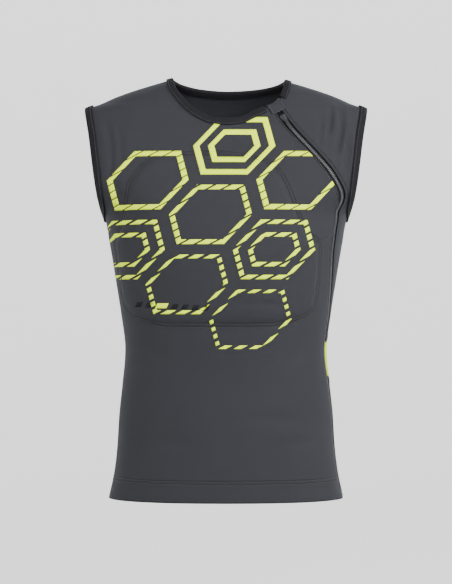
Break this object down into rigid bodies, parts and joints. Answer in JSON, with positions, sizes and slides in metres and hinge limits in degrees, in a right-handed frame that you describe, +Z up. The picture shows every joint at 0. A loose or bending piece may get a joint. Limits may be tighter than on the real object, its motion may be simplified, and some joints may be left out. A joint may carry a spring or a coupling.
{
  "type": "motorcycle armour vest",
  "caption": "Fitted sleeveless stretch vest with a chest protector sewn behind its front, bound collar and armholes, and a zip curving from the collar to the left hip.",
  "frame": {"origin": "midway between the two points where the shoulder seams meet the collar, where the vest rests on its wearer's shoulders", "axes": "+Z up, -Y the wearer's front, +X the wearer's left, where the zip is"},
  "size_m": [0.4232, 0.2265, 0.6293],
  "materials": {
    "grey_stretch_fabric": "matt dark grey stretch knit",
    "black_binding": "matt black folded elastic",
    "lime_stretch_fabric": "matt fluorescent lime stretch knit",
    "protector_foam": "matt dark soft foam",
    "zip_tape": "matt black woven tape",
    "zip_coil": "dark glossy nylon coil",
    "black_slider_metal": "satin black enamelled zinc"
  },
  "bodies": {
    "vest": {"front_panel": "grey_stretch_fabric", "left_shoulder_panel": "grey_stretch_fabric", "waist_insert": "lime_stretch_fabric", "left_hip_panel": "grey_stretch_fabric", "back_panel": "grey_stretch_fabric", "armhole_binding_right": "black_binding", "armhole_binding_left": "black_binding", "neck_binding": "black_binding", "chest_protector": "protector_foam", "hem_front": "grey_stretch_fabric", "hem_side": "grey_stretch_fabric", "hem_back": "grey_stretch_fabric", "zip_tape_front": "zip_tape", "zip_tape_side": "zip_tape", "zip_chain": "zip_coil", "zip_slider": "black_slider_metal", "zip_end_box": "black_slider_metal", "zip_garage": "grey_stretch_fabric"},
    "puller": {"zip_puller": "black_slider_metal"}
  },
  "joints": [
    {"name": "puller_swing", "type": "hinge", "parent": "vest", "child": "puller", "pos_m": [0.0849, -0.07289, -0.06205], "axis": [-0.8484, -0.229, -0.4773], "range_deg": [0, 150]}
  ]
}
